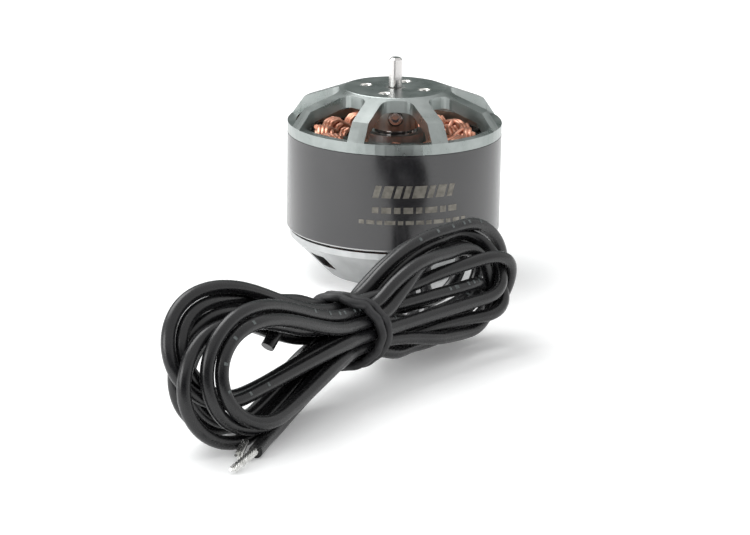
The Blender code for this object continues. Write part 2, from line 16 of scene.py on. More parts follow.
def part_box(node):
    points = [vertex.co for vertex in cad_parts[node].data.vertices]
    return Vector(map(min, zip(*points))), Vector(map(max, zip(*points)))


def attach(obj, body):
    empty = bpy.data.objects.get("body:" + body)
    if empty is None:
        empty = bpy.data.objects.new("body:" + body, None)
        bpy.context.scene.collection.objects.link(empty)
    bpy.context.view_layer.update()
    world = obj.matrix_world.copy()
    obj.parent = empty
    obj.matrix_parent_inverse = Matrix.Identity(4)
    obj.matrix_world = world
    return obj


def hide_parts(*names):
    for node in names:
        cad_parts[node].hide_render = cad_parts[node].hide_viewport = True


MM = 0.001
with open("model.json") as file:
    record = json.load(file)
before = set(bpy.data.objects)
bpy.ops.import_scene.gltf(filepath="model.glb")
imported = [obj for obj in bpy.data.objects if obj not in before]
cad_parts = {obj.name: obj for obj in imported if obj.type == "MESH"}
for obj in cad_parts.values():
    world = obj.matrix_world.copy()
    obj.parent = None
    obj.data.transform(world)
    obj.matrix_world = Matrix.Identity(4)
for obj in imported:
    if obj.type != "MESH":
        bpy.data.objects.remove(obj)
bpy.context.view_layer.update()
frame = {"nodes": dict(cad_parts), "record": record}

# Leads, as the CAD has them.
LEAD_OPENING = math.radians(7.5)
LEAD_RADIUS = 1.15 * MM
LEAD_PITCH = 3.2 * MM
LEAD_HEIGHT = 4.2 * MM
HANK_CENTRE = Vector((-5.0 * MM, -70.0 * MM, 0.0))
HANK_HEADING = math.radians(227.0)
HANK_HALF_THICKNESS = 7.0 * MM

# The waist, where the tie squeezes the strands into an oval: its place along the hank, then the
# oval's middle and half its size, aside and up. In mm, as are the rest of the hank's figures.
WAIST = 4.0
WAIST_MIDDLE = (-1.0, 10.6)
WAIST_REACH = (4.7, 4.4)
WAIST_LENGTH = 3.0
TIE_RADIUS = 0.78
TIE_START = 4.4  # how far past the waist its first turn starts, at the back
TIE_LEAN = 4.6  # and how far it leans the other way in front
FOLD = 7.2  # half height squared over the nose's length stays above this, so no fold is too sharp

# Turns of the hank: reach from the hank's middle, aside at the foot and at the top of the far end,
# and height at the foot and at the top.
LEFT = {
    "front": (43.7, -13.2, -9.4, 4.2, 19.9),
    "second": (45.8, -11.6, -7.6, 2.4, 21.9),
    "leaning": (48.9, -9.6, -1.6, 8.5, 23.6),
    "leaning_inner": (46.8, -8.0, -2.4, 7.4, 22.6),
    "outer": (49.4, -10.5, -6.4, 1.5, 19.8),
    "inner": (45.6, -8.0, -5.0, 3.0, 18.8),
    "back": (47.2, -7.4, -3.2, 3.0, 20.8),
    "back_inner": (43.5, -4.6, -2.6, 1.3, 19.0),
}
RIGHT = {
    "long": (39.6, 2.9, 3.0, 3.2, 21.1),
    "tall": (34.2, 0.8, -2.4, 3.0, 16.9),
    "middle": (32.0, -3.6, -1.0, 5.0, 18.7),
    "middle_low": (33.6, -4.6, 2.6, 7.6, 19.0),
    "low": (32.8, 5.4, -4.2, 3.0, 13.0),
    "lowest": (33.4, -4.6, 4.6, 10.3, 20.0),
    "behind": (36.6, 6.2, 5.0, 5.8, 19.8),
    "far": (34.4, 8.2, 6.2, 7.0, 19.6),
}

# Rows of strands in the waist: how many, and how high.
ROWS = ((3, 6.7), (4, 8.5), (5, 10.5), (4, 12.6), (3, 14.6))
STRAND_PITCH = 2.3


def waist_slot(row, place):
    """Aside and height of a strand in the waist, counted from the lowest row and the front."""
    count, height = ROWS[row]
    return WAIST_MIDDLE[0] + (place - (count - 1) / 2) * STRAND_PITCH, height


# Each lead's passes in order: the row and place it goes through the waist in, the turn that follows,
# and whether that turn starts at its foot or at its top.
WINDINGS = {
    "a": (
        (1, 2, LEFT["outer"], "foot"),
        (3, 1, RIGHT["low"], "top"),
        (1, 1, LEFT["second"], "foot"),
        (4, 0, RIGHT["middle"], "top"),
        (1, 0, LEFT["front"], "foot"),
        (3, 0, RIGHT["middle_low"], "top"),
    ),
    "b": (
        (2, 2, LEFT["inner"], "foot"),
        (3, 2, RIGHT["lowest"], "top"),
        (2, 0, LEFT["leaning"], "foot"),
        (4, 1, RIGHT["tall"], "top"),
        (2, 1, LEFT["leaning_inner"], "foot"),
        (4, 2, RIGHT["long"], "top"),
    ),
    "c": (
        (3, 3, LEFT["back"], "top"),
        (0, 2, RIGHT["behind"], "foot"),
        (2, 3, LEFT["back_inner"], "top"),
        (1, 3, RIGHT["far"], "foot"),
    ),
}

# The free ends past the waist: along, aside and up.
TAILS = {
    "a": (
        (3.0, -1.0, 6.7),
        (9.0, -1.8, 5.6),
        (15.0, -3.2, 3.4),
        (21.0, -4.8, 2.2),
        (27.0, -6.6, 1.6),
        (32.0, -8.3, 1.5),
        (36.2, -9.6, 1.8),
    ),
    "b": (
        (3.0, -3.3, 6.7),
        (9.0, -3.8, 6.0),
        (15.0, -4.6, 4.6),
        (21.0, -6.0, 3.0),
        (27.0, -7.9, 1.9),
        (33.0, -10.6, 1.3),
        (40.2, -14.7, 1.2),
    ),
    "c": (
        (3.0, 3.6, 10.8),
        (8.0, 3.0, 12.6),
        (12.5, 1.4, 14.5),
        (16.0, -0.3, 15.7),
        (19.7, -1.8, 15.9),
        (23.1, -2.8, 14.8),
        (25.5, -3.2, 12.8),
    ),
}

# Bare ends: where the insulation ends and where the strands end, each along, aside and up.
BARE_ENDS = {
    "a": ((36.2, -9.6, 2.0), (43.3, -14.7, 1.0)),
    "b": ((40.0, -15.0, 1.2), (47.5, -18.0, 0.9)),
}

# Printed dashes: where each lead's groups start, as lengths of lead in metres.
MARK_STARTS = {"a": (0.19, 0.33, 0.47), "b": (0.12, 0.27, 0.42, 0.55), "c": (0.2, 0.34)}
DASHES = 14
DASH = 1.0 * MM
DASH_GAP = 0.5 * MM

# The motor, in metres.
CAN_RADIUS = 21.0 * MM
CAN_BORE = 19.7 * MM
CAN_CHAMFER = 0.4 * MM
HUB_TOP = 36.8 * MM
PROP_PITCH_RADIUS = 6.0 * MM
FIRST_PROP_SCREW = math.radians(-19.0)
STACK_MIDDLE = 18.5 * MM
TEETH = 12
ENAMELLED_WIRE_RADIUS = 0.52 * MM

# A thread insert's section: radius, and height above the hub, in mm.
INSERT_PROFILE = (
    (0.95, -1.6),
    (0.95, -0.35),
    (1.1, -0.12),
    (1.34, 0.02),
    (1.42, -0.02),
    (1.22, -0.5),
    (1.22, -1.6),
)

# Rows of bars on the can: bottom and top in mm, first and last azimuth in degrees, the bars'
# lengths and the gap between them in shares of the row, and how far the tops lean in degrees.
CAN_MARK_ROWS = (
    (19.8, 22.2, -11.0, 32.0, (2, 3, 2, 2, 4, 2, 3, 2), 0.9, 1.8),
    (16.8, 18.0, -11.0, 35.0, (2, 3, 2, 3, 2, 4, 2, 3), 0.9, 0.0),
    (14.6, 15.4, -18.0, 41.0, (2, 3, 2, 4, 2, 3, 3, 2, 4, 2, 3, 2), 0.9, 0.0),
)

# The camera: place in metres, direction in degrees, and lens.
CAMERA_PLACE = (0.0, -500.0 * MM, 145.6 * MM)
CAMERA_YAW = 0.39
CAMERA_PITCH = 16.23
CAMERA_ROLL = 0.9
CAMERA_LENS = 125.6

WHITE = (1.0, 1.0, 1.0, 1.0)

# Metals that are turned or ground: slot, darker and lighter colour, and range of roughness.
TURNED_METALS = (
    ("satin_aluminium", (0.27, 0.3, 0.29), (0.4, 0.43, 0.42), (0.24, 0.36)),
    ("ground_steel", (0.6, 0.58, 0.57), (0.74, 0.72, 0.71), (0.16, 0.26)),
    ("nickel_plate", (0.75, 0.74, 0.7), (0.9, 0.89, 0.86), (0.14, 0.24)),
    ("bearing_balls", (0.6, 0.58, 0.52), (0.78, 0.76, 0.7), (0.1, 0.2)),
)

# The walls of the tent: azimuth in degrees, and colour.
TENT_GREEN = (0.2, 0.23, 0.22)
TENT_DARK = (0.05, 0.05, 0.055)
TENT_GREY = (0.62, 0.62, 0.63)
TENT_WHITE = (1.0, 1.0, 1.0)
TENT_WALLS = (
    (-180, TENT_GREEN),
    (-150, TENT_GREEN),
    (-128, TENT_WHITE),
    (-42, TENT_WHITE),
    (-36, TENT_DARK),
    (38, TENT_DARK),
    (44, TENT_GREY),
    (60, TENT_GREY),
    (75, TENT_WHITE),
    (128, TENT_WHITE),
    (150, TENT_GREEN),
    (180, TENT_GREEN),
)


def heading(azimuth):
    """Unit vector that points outwards at an azimuth."""
    return Vector((math.sin(azimuth), -math.cos(azimuth), 0.0))


def hank_axes():
    """Unit vectors along the hank and aside from it."""
    along = Vector((math.cos(HANK_HEADING), math.sin(HANK_HEADING), 0.0))
    return along, Vector((along.y, -along.x, 0.0))


def hank_place(along, aside, height):
    """World point for a place in the hank, given in mm."""
    u, n = hank_axes()
    return HANK_CENTRE + (u * along + n * aside + Vector((0.0, 0.0, height))) * MM


def hank_coordinates(point):
    """The place in the hank of a world point, in mm."""
    u, n = hank_axes()
    offset = (point - HANK_CENTRE) / MM
    return offset.dot(u), offset.dot(n), offset.z


# ---------------------------------------------------------------- camera


def add_camera():
    """Camera at the viewing angle of the original: in front, a little above, turned a shade left."""
    yaw, pitch, roll = (math.radians(turn) for turn in (CAMERA_YAW, CAMERA_PITCH, CAMERA_ROLL))
    level = math.cos(pitch)
    ahead = Vector((-math.sin(yaw) * level, math.cos(yaw) * level, -math.sin(pitch)))
    right = ahead.cross(Vector((0.0, 0.0, 1.0))).normalized()
    up = right.cross(ahead)
    tilted_right = right * math.cos(roll) + up * math.sin(roll)
    tilted_up = up * math.cos(roll) - right * math.sin(roll)
    data = bpy.data.cameras.new("camera")
    data.lens = CAMERA_LENS
    data.sensor_width = 36.0
    data.clip_end = 20.0
    camera = bpy.data.objects.new("camera", data)
    bpy.context.scene.collection.objects.link(camera)
    turn = Matrix((tilted_right, tilted_up, -ahead)).transposed().to_4x4()
    camera.matrix_world = Matrix.Translation(CAMERA_PLACE) @ turn
    bpy.context.scene.camera = camera


# ---------------------------------------------------------------- the hank


def smooth_route(route, steps):
    """Points on a Catmull-Rom curve through the route, steps to each stretch."""
    route = [np.array(point, float) for point in route]
    ends = [2 * route[0] - route[1]] + route + [2 * route[-1] - route[-2]]
    points = []
    for before, start, stop, after in zip(ends, ends[1:], ends[2:], ends[3:]):
        for k in range(steps):
            t = k / steps
            bend = 2 * before - 5 * start + 4 * stop - after
            twist = 3 * start - before - 3 * stop + after
            points.append(0.5 * (2 * start + (stop - before) * t + bend * t * t + twist * t**3))
    points.append(route[-1])
    return points


def evenly_spaced(points, step):
    """The same line with points about a step apart."""
    points = np.array(points, float)
    walked = np.concatenate([[0.0], np.cumsum(np.linalg.norm(np.diff(points, axis=0), axis=1))])
    count = max(2, int(round(walked[-1] / step)) + 1)
    places = np.linspace(0.0, walked[-1], count)
    return np.stack([np.interp(places, walked, points[:, k]) for k in range(3)], axis=1)


def ease(share):
    """A share from 0 to 1 that starts and stops gently."""
    return share * share * (3 - 2 * share)


def turn_points(start, turn, side, first, stop):
    """One half turn of the hank from a slot in the waist round the far end and back to another slot.

    side is 1 for the left loops and -1 for the right ones; first says which pass comes first.
    The far end is a half ellipse between the two passes, nose long. The left loops are rounder,
    and the upper pass of a right loop bows outwards from the waist.
    """
    reach, aside_foot, aside_top, foot, top = turn
    half = math.hypot(top - foot, aside_top - aside_foot) / 2
    longest = 1.15 if side > 0 else 1.8
    nose = min(longest * half, half * half / FOLD)
    shoulder = side * (reach - nose)
    entry, leave = (aside_foot, foot), (aside_top, top)
    if first == "top":
        entry, leave = leave, entry
    steps = 18
    squeezed = 0.1  # share of a pass that stays at the waist's height

    def along_pass(slot, far, share):
        if side < 0 and far[1] == top:
            spread = math.sin(math.pi / 2 * min(1.0, share / 0.75)) ** 1.3
        else:
            spread = ease(max(0.0, share - squeezed) / (1 - squeezed))
        aside = slot[0] + (far[0] - slot[0]) * share
        return WAIST + (shoulder - WAIST) * share, aside, slot[1] + (far[1] - slot[1]) * spread

    points = [along_pass(start, entry, k / steps) for k in range(steps)]
    for k in range(steps + 1):
        angle = math.pi * k / steps
        swing = (1 - math.cos(angle)) / 2
        aside = entry[0] + (leave[0] - entry[0]) * swing
        height = entry[1] + (leave[1] - entry[1]) * swing
        points.append((shoulder + side * nose * math.sin(angle), aside, height))
    points += [along_pass(stop, leave, 1 - k / steps) for k in range(1, steps)]
    return points


def run_route(k):
    """A lead from the stator, through the grommet, to the back of the hank, as in the CAD."""
    out = heading(LEAD_OPENING)
    side = Vector((math.cos(LEAD_OPENING), math.sin(LEAD_OPENING), 0.0)) * LEAD_PITCH * k
    lift = Vector((0.0, 0.0, LEAD_HEIGHT))
    rest = Vector((0.0, 0.0, LEAD_RADIUS + 0.15 * MM))
    meet = hank_place(-22.3 - 4.3 * k, HANK_HALF_THICKNESS / MM + 1.3, 3.6)
    return [
        out * 12.0 * MM + side + lift,
        out * 16.0 * MM + side + lift,
        out * 20.0 * MM + side + lift,
        out * 24.0 * MM + side + lift * 0.85,
        out * 31.0 * MM + side + rest,
        meet + Vector((0.0, 9.0 * MM, -1.6 * MM)),
        meet,
    ]


def lead_line(letter):
    """One lead's whole centreline before the strands are pushed apart, in mm in the hank's places."""
    order = "abc".index(letter) - 1
    passes = WINDINGS[letter]
    route = [hank_coordinates(point) for point in run_route(order)]
    along, aside, height = route[-1]
    slot = waist_slot(*passes[0][:2])
    # From the back of the hank up into the first slot of the waist.
    route.append((along + 9.0, 5.6 + slot[0] * 0.2, 4.2))
    route.append((-2.0, slot[0] + 0.8, slot[1] - 0.4))
    points = smooth_route(route, 8)[:-1]
    slots = [waist_slot(row, place) for row, place, _, _ in passes]
    slots.append(TAILS[letter][0][1:])
    side = 1
    for (_, _, turn, first), start, stop in zip(passes, slots, slots[1:]):
        points += turn_points(start, turn, side, first, stop)
        side = -side
    points += smooth_route(TAILS[letter], 6)
    return softened(evenly_spaced(points, 1.5), 12)


def softened(line, rounds):
    """Round off corners without drawing the line's loops in; its ends stay.

    Each round smooths and then swells by slightly more, which cancels the shrinking.
    """
    line = np.array(line)
    for share in (0.5, -0.52) * rounds:
        line[1:-1] += share * ((line[:-2] + line[2:]) / 2 - line[1:-1])
    return line


def push_apart(lines):
    """Move crossing strands until they only touch, on the floor and inside the tie."""
    diameter = 2 * LEAD_RADIUS / MM
    wanted = diameter * 1.03
    own_stretch = 5  # points of one strand closer than this along it don't push each other
    rounds = 260
    last_rounds = 40  # without smoothing, so that the strands end up clear of each other
    base_reach = 34.0  # points this near the motor's axis stay on the leads' way out
    step_limit = 0.5
    floor = LEAD_RADIUS / MM + 0.03
    rest = np.vstack(lines)
    owner = np.concatenate([np.full(len(line), k) for k, line in enumerate(lines)])
    order = np.arange(len(rest))
    first, second = np.triu_indices(len(rest), 1)
    apart = (owner[first] != owner[second]) | (order[second] - order[first] > own_stretch)
    first, second = first[apart], second[apart]
    near = np.linalg.norm(rest[first] - rest[second], axis=1) < 4 * diameter
    first, second = first[near], second[near]
    motor = np.array(hank_coordinates(Vector((0, 0, 0))))[:2]
    inside_base = np.linalg.norm(rest[:, :2] - motor, axis=1) < base_reach
    place = rest.copy()
    for k in range(rounds):
        gap = place[first] - place[second]
        distance = np.maximum(np.linalg.norm(gap, axis=1), 1e-6)
        short = np.maximum(wanted - distance, 0.0)
        push = gap * (0.3 * short / distance)[:, None]
        moved = np.zeros_like(place)
        for axis in range(3):
            moved[:, axis] += np.bincount(first, push[:, axis], len(place))
            moved[:, axis] -= np.bincount(second, push[:, axis], len(place))
        place += np.clip(moved, -step_limit, step_limit)
        squeeze_in_waist(place)
        place[:, 2] = np.maximum(place[:, 2], floor)
        place[inside_base] = rest[inside_base]
        if k < rounds - last_rounds:
            place = smoothed_moves(place, rest, lines)
    start = 0
    result = []
    for line in lines:
        result.append(place[start : start + len(line)])
        start += len(line)
    return result


def squeeze_in_waist(place):
    """Keep the strands' centrelines inside the tie's oval, which widens away from the waist."""
    reach = np.array(WAIST_REACH)
    offset = (place[:, 1:] - np.array(WAIST_MIDDLE)) / reach
    size = np.linalg.norm(offset, axis=1)
    allowed = 1.0 + 0.014 * np.maximum(0.0, np.abs(place[:, 0] - WAIST) - WAIST_LENGTH / 2) ** 2
    out = size > allowed
    place[out, 1:] = np.array(WAIST_MIDDLE) + (offset * (allowed / size)[:, None])[out] * reach


def smoothed_moves(place, rest, lines):
    """Spread each strand's displacement along it, so that pushing leaves no kinks."""
    moved = place - rest
    start = 0
    for line in lines:
        part = moved[start : start + len(line)]
        padded = np.vstack([part[:1], part, part[-1:]])
        moved[start : start + len(line)] = 0.25 * padded[:-2] + 0.5 * part + 0.25 * padded[2:]
        start += len(line)
    return rest + moved * 0.998


def curve_object(name, points, radius, sides=5):
    """A round cord as a curve of one open spline."""
    curve = bpy.data.curves.new(name, "CURVE")
    curve.dimensions = "3D"
    curve.bevel_depth = radius
    curve.bevel_resolution = sides
    curve.use_fill_caps = True
    spline = curve.splines.new("POLY")
    spline.points.add(len(points) - 1)
    for slot, point in zip(spline.points, points):
        slot.co = (*point, 1.0)
    spline.use_smooth = True
    made = bpy.data.objects.new(name, curve)
    bpy.context.scene.collection.objects.link(made)
    return made


def add_leads(look):
    """The three leads; returns each with the points of its centreline."""
    lines = [softened(line, 4) for line in push_apart([lead_line(letter) for letter in "abc"])]
    leads = {}
    for letter, line in zip("abc", lines):
        points = [hank_place(*point) for point in smooth_route(line, 3)]
        lead = curve_object(f"silicone_lead_{letter}", points, LEAD_RADIUS)
        lead.data.materials.append(look)
        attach(lead, "stator")
        nodes = [f"lead_{letter}", "lead_hank"]
        if letter != "c":
            nodes.append(f"lead_{letter}_end")
        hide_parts(*nodes)
        leads[letter] = (lead, points)
    return leads


def add_lead_marks(leads, look):
    """Faint dashes printed along the leads in groups, the way wire is marked; they spell nothing."""
    half_width = math.radians(17.0)
    surface = LEAD_RADIUS + 0.02 * MM
    front = -hank_axes()[1] + Vector((0.0, 0.0, 0.9))

    def build(shape):
        for letter, starts in MARK_STARTS.items():
            points = leads[letter][1]
            reached = 0.0
            wanted = []
            for start in starts:
                for k in range(DASHES):
                    first = start + k * (DASH + DASH_GAP)
                    wanted.append((first, first + DASH * (0.5 + 0.5 * ((k * 7) % 3) / 2)))
            strip = None
            for one, other in zip(points, points[1:]):
                middle = reached + (other - one).length / 2
                reached += (other - one).length
                if not any(first <= middle <= last for first, last in wanted):
                    strip = None
                    continue
                tangent = (other - one).normalized()
                outwards = (front - tangent * front.dot(tangent)).normalized()
                across = tangent.cross(outwards)
                row = []
                for angle in (-half_width, 0.0, half_width):
                    offset = outwards * math.cos(angle) + across * math.sin(angle)
                    row.append(shape.verts.new((one + other) / 2 + offset * surface))
                if strip:
                    shape.faces.new((strip[0], row[0], row[1], strip[1]))
                    shape.faces.new((strip[1], row[1], row[2], strip[2]))
                strip = row

    mesh_piece("lead_marks", build, look, "stator")


def add_tie(look, leads):
    """A cord wound twice round the strands at the waist, drawn tight.

    Both ends are at the back. In front it leans towards the right loops.
    """
    strands = []
    for _, points in leads.values():
        places = [hank_coordinates(point) for point in points]
        for one, other in zip(places, places[1:]):
            if (one[0] - WAIST) * (other[0] - WAIST) <= 0:
                strands.append(one[1:])
    strands = np.array(strands)
    clearance = 0.05
    away = LEAD_RADIUS / MM + TIE_RADIUS + clearance
    pitch = 2 * TIE_RADIUS + 0.1
    turns = 2
    steps = 40
    points = []
    for k in range(turns * steps + 1):
        angle = math.tau * k / steps
        outwards = np.array([math.cos(angle), math.sin(angle)])
        aside, height = strands[np.argmax(strands @ outwards)] + away * outwards
        lean = TIE_LEAN * max(0.0, -math.cos(angle))
        along = WAIST + TIE_START - lean - pitch * k / steps
        points.append((along, aside, height))
    points = [hank_place(*point) for point in smooth_route(evenly_spaced(points, 1.6), 3)]
    tie = curve_object("hank_tie_cord", points, TIE_RADIUS * MM)
    tie.data.materials.append(look)
    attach(tie, "stator")
    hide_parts("hank_tie")
    return tie, points


def add_bare_ends(look):
    """Six tinned strands twisted round a seventh at each stripped end."""
    strand = 0.25 * MM
    around = 6
    twist = math.tau / (5.5 * MM)
    tips = {}
    for letter, (root, end) in BARE_ENDS.items():
        start, stop = hank_place(*root), hank_place(*end)
        axis = stop - start
        across = axis.cross(Vector((0.0, 0.0, 1.0))).normalized()
        upwards = across.cross(axis).normalized()
        curve = bpy.data.curves.new(f"tinned_strands_{letter}", "CURVE")
        curve.dimensions = "3D"
        curve.bevel_depth = strand
        curve.bevel_resolution = 3
        curve.use_fill_caps = True
        steps = 28
        for k in range(around + 1):
            spline = curve.splines.new("POLY")
            spline.points.add(steps)
            spline.use_smooth = True
            lay = 0.0 if k == around else 1.85 * strand
            trim = 1.0 - 0.04 * (k % 3)  # the strands don't all end together
            for i, point in enumerate(spline.points):
                share = i / steps * trim
                angle = math.tau * k / around + twist * share * axis.length
                swing = across * math.cos(angle) + upwards * math.sin(angle)
                point.co = (*(start + axis * share + swing * lay), 1.0)
        tip = bpy.data.objects.new(f"tinned_strands_{letter}", curve)
        bpy.context.scene.collection.objects.link(tip)
        curve.materials.append(look)
        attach(tip, "stator")
        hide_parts(f"tinned_tip_{letter}")
        tips[letter] = tip
    return tips


# ---------------------------------------------------------------- motor


def add_windings(look):
    """Each tooth's coil: three layers of enamelled wire, wound out along the tooth and back."""
    wire = ENAMELLED_WIRE_RADIUS
    half_height = 8.35 * MM
    half_width = 1.85 * MM
    # Each layer: the radii it starts and ends at in mm, its turns, and how many layers are under it.
    layers = ((10.5, 15.3, 5, 0), (15.2, 11.4, 4, 1), (13.2, 15.4, 3, 2))
    steps = 22
    points = []
    for inner, outer, count, layer in layers:
        step_out = layer * 1.5 * wire
        for k in range(count * steps):
            turn = k / steps
            angle = math.tau * turn
            radius = (inner + (outer - inner) * turn / count) * MM
            across = (half_width + step_out) * superellipse(math.sin(angle))
            height = (half_height + step_out) * superellipse(math.cos(angle))
            points.append(Vector((radius, across, height)))
    wound = curve_object("wound", points, wire, sides=2)
    graph = bpy.context.evaluated_depsgraph_get()
    mesh = bpy.data.meshes.new_from_object(wound.evaluated_get(graph))
    bpy.data.objects.remove(wound)
    mesh.shade_smooth()
    mesh.materials.clear()
    mesh.materials.append(look)
    for k in range(TEETH):
        winding = bpy.data.objects.new(f"winding_{k + 1:02d}", mesh)
        bpy.context.scene.collection.objects.link(winding)
        winding.location.z = STACK_MIDDLE
        winding.rotation_euler.z = math.tau * k / TEETH - math.pi / 2
        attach(winding, "stator")
        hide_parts(f"coil_{k + 1:02d}")


def superellipse(value):
    """A sine or cosine with squarer shoulders."""
    return math.copysign(abs(value) ** 0.55, value)


def mesh_piece(name, build, look, body):
    """A piece whose mesh is what build() adds to an empty bmesh."""
    shape = bmesh.new()
    build(shape)
    mesh = bpy.data.meshes.new(name)
    shape.to_mesh(mesh)
    shape.free()
    mesh.shade_smooth()
    mesh.materials.append(look)
    piece = bpy.data.objects.new(name, mesh)
    bpy.context.scene.collection.objects.link(piece)
    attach(piece, body)
    return piece


def add_can(look):
    """The steel can as a fine turned piece, with both edges rounded over."""
    low, high = (corner[2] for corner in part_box("flux_ring"))
    profile = [
        (CAN_RADIUS, high),
        (CAN_BORE, high),
        (CAN_BORE, low + 0.1 * MM),
        (CAN_BORE + 0.1 * MM, low),
        (CAN_RADIUS - CAN_CHAMFER - 0.1 * MM, low),
        (CAN_RADIUS - CAN_CHAMFER, low + 0.02 * MM),
        (CAN_RADIUS - 0.04 * MM, low + CAN_CHAMFER - 0.04 * MM),
        (CAN_RADIUS, low + CAN_CHAMFER + 0.05 * MM),
    ]
    steps = 240

    def build(shape):
        rings = []
        for radius, height in profile:
            ring = []
            for k in range(steps):
                point = heading(math.tau * k / steps) * radius
                point.z = height
                ring.append(shape.verts.new(point))
            rings.append(ring)
        for outer, inner in zip(rings, rings[1:] + rings[:1]):
            for k in range(steps):
                j = (k + 1) % steps
                shape.faces.new((outer[k], outer[j], inner[j], inner[k]))

    can = mesh_piece("turned_can", build, look, "rotor")
    can.data.set_sharp_from_angle(angle=math.radians(35.0))
    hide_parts("flux_ring")


def add_thread_inserts(look):
    """Bright countersunk threads in the propeller screw holes."""
    steps = 32

    def build(shape):
        for hole in range(4):
            centre = heading(FIRST_PROP_SCREW + math.tau * hole / 4) * PROP_PITCH_RADIUS
            rings = []
            for radius, height in INSERT_PROFILE:
                ring = []
                for k in range(steps):
                    offset = heading(math.tau * k / steps) * radius * MM
                    offset.z = HUB_TOP + height * MM
                    ring.append(shape.verts.new(centre + offset))
                rings.append(ring)
            for lower, upper in zip(rings, rings[1:] + rings[:1]):
                for k in range(steps):
                    j = (k + 1) % steps
                    shape.faces.new((lower[k], upper[k], upper[j], lower[j]))

    mesh_piece("prop_thread_inserts", build, look, "rotor")


def add_can_marks(look):
    """Plain printed bars in three rows; they spell nothing."""
    radius = CAN_RADIUS + 0.03 * MM

    def build(shape):
        for bottom, top, first, last, lengths, gap, slant in CAN_MARK_ROWS:
            total = sum(lengths) + gap * (len(lengths) - 1)
            scale = (last - first) / total
            angle = first
            for length in lengths:
                steps = max(2, round(length * scale / 1.5))
                previous = None
                for k in range(steps + 1):
                    place = angle + length * scale * k / steps
                    column = []
                    for height, shift in ((bottom, 0.0), (top, slant)):
                        point = heading(math.radians(place + shift)) * radius
                        point.z = height * MM
                        column.append(shape.verts.new(point))
                    if previous:
                        shape.faces.new((previous[0], column[0], column[1], previous[1]))
                    previous = column
                angle += (length + gap) * scale

    mesh_piece("can_marks", build, look, "rotor")


# ---------------------------------------------------------------- materials


def shader_material(name, colour, roughness, metallic=0.0):
    """A material with one Principled shader; returns it with its node tree and the shader."""
    made = bpy.data.materials.new(name)
    made.use_nodes = True
    shader = made.node_tree.nodes["Principled BSDF"]
    shader.inputs["Base Color"].default_value = (*colour, 1.0)
    shader.inputs["Roughness"].default_value = roughness
    shader.inputs["Metallic"].default_value = metallic
    return made, made.node_tree, shader


def add_node(tree, kind, settings, **links):
    """A node with its input defaults, and links into its inputs given as socket_name=output."""
    node = tree.nodes.new(kind)
    for key, value in settings.items():
        if key in node.inputs:
            node.inputs[key].default_value = value
        else:
            setattr(node, key, value)
    for key, output in links.items():
        tree.links.new(output, node.inputs[key.replace("_", " ")])
    return node


def noise(tree, scale, detail):
    """Noise over the object's own coordinates, in features of about 1/scale metres."""
    place = add_node(tree, "ShaderNodeTexCoord", {}).outputs["Object"]
    settings = {"Scale": scale, "Detail": detail}
    return add_node(tree, "ShaderNodeTexNoise", settings, Vector=place).outputs["Fac"]


def ramp(tree, factor, stops):
    """Colours blended between stops, each a position and a colour."""
    made = add_node(tree, "ShaderNodeValToRGB", {}, Fac=factor)
    elements = made.color_ramp.elements
    while len(elements) < len(stops):
        elements.new(0.5)
    for element, (position, colour) in zip(elements, stops):
        element.position = position
        element.color = (*colour, 1.0)
    return made.outputs["Color"]


def map_range(tree, factor, low, high, start=0.3, stop=0.7):
    """The factor's stretch from start to stop, mapped onto low to high."""
    settings = {"From Min": start, "From Max": stop, "To Min": low, "To Max": high}
    return add_node(tree, "ShaderNodeMapRange", settings, Value=factor).outputs["Result"]


def bump(tree, height, strength, distance):
    settings = {"Strength": strength, "Distance": distance}
    return add_node(tree, "ShaderNodeBump", settings, Height=height).outputs["Normal"]


def detailed(name, dark, light, metallic, roughness, mottle, grain, relief):
    """A surface whose colour varies in patches, and its roughness and relief in a fine grain.

    dark and light are the ends of the colour, roughness is a range, mottle and grain are the
    scales of the patches and the grain, and relief is the strength of the bump.
    """
    made, tree, shader = shader_material(name, light, roughness[0], metallic)
    patches = noise(tree, mottle, 5.0)
    fine = noise(tree, grain, 6.0)
    colour = ramp(tree, patches, ((0.35, dark), (0.65, light)))
    tree.links.new(colour, shader.inputs["Base Color"])
    tree.links.new(map_range(tree, fine, *roughness), shader.inputs["Roughness"])
    tree.links.new(bump(tree, fine, relief, 0.05 * MM), shader.inputs["Normal"])
    return made, tree, shader


def turned_metal(name, dark, light, roughness):
    """Turned metal: fine circles about the motor axis, and wear seen as lighter patches."""
    made, tree, shader = shader_material(name, light, roughness[0], 1.0)
    place = add_node(tree, "ShaderNodeTexCoord", {}).outputs["Object"]
    split = add_node(tree, "ShaderNodeSeparateXYZ", {}, Vector=place).outputs
    across = add_node(tree, "ShaderNodeCombineXYZ", {}, X=split["X"], Y=split["Y"])
    length = add_node(tree, "ShaderNodeVectorMath", {"operation": "LENGTH"}, Vector=across.outputs[0])
    rings = add_node(tree, "ShaderNodeCombineXYZ", {}, X=length.outputs["Value"], Z=split["Z"])
    settings = {"Scale": 9000.0, "Detail": 2.0}
    grooves = add_node(tree, "ShaderNodeTexNoise", settings, Vector=rings.outputs[0]).outputs["Fac"]
    patches = noise(tree, 240.0, 6.0)
    colour = ramp(tree, patches, ((0.3, dark), (0.7, light)))
    tree.links.new(colour, shader.inputs["Base Color"])
    tree.links.new(map_range(tree, patches, *roughness), shader.inputs["Roughness"])
    tree.links.new(bump(tree, grooves, 0.25, 0.02 * MM), shader.inputs["Normal"])
    return made


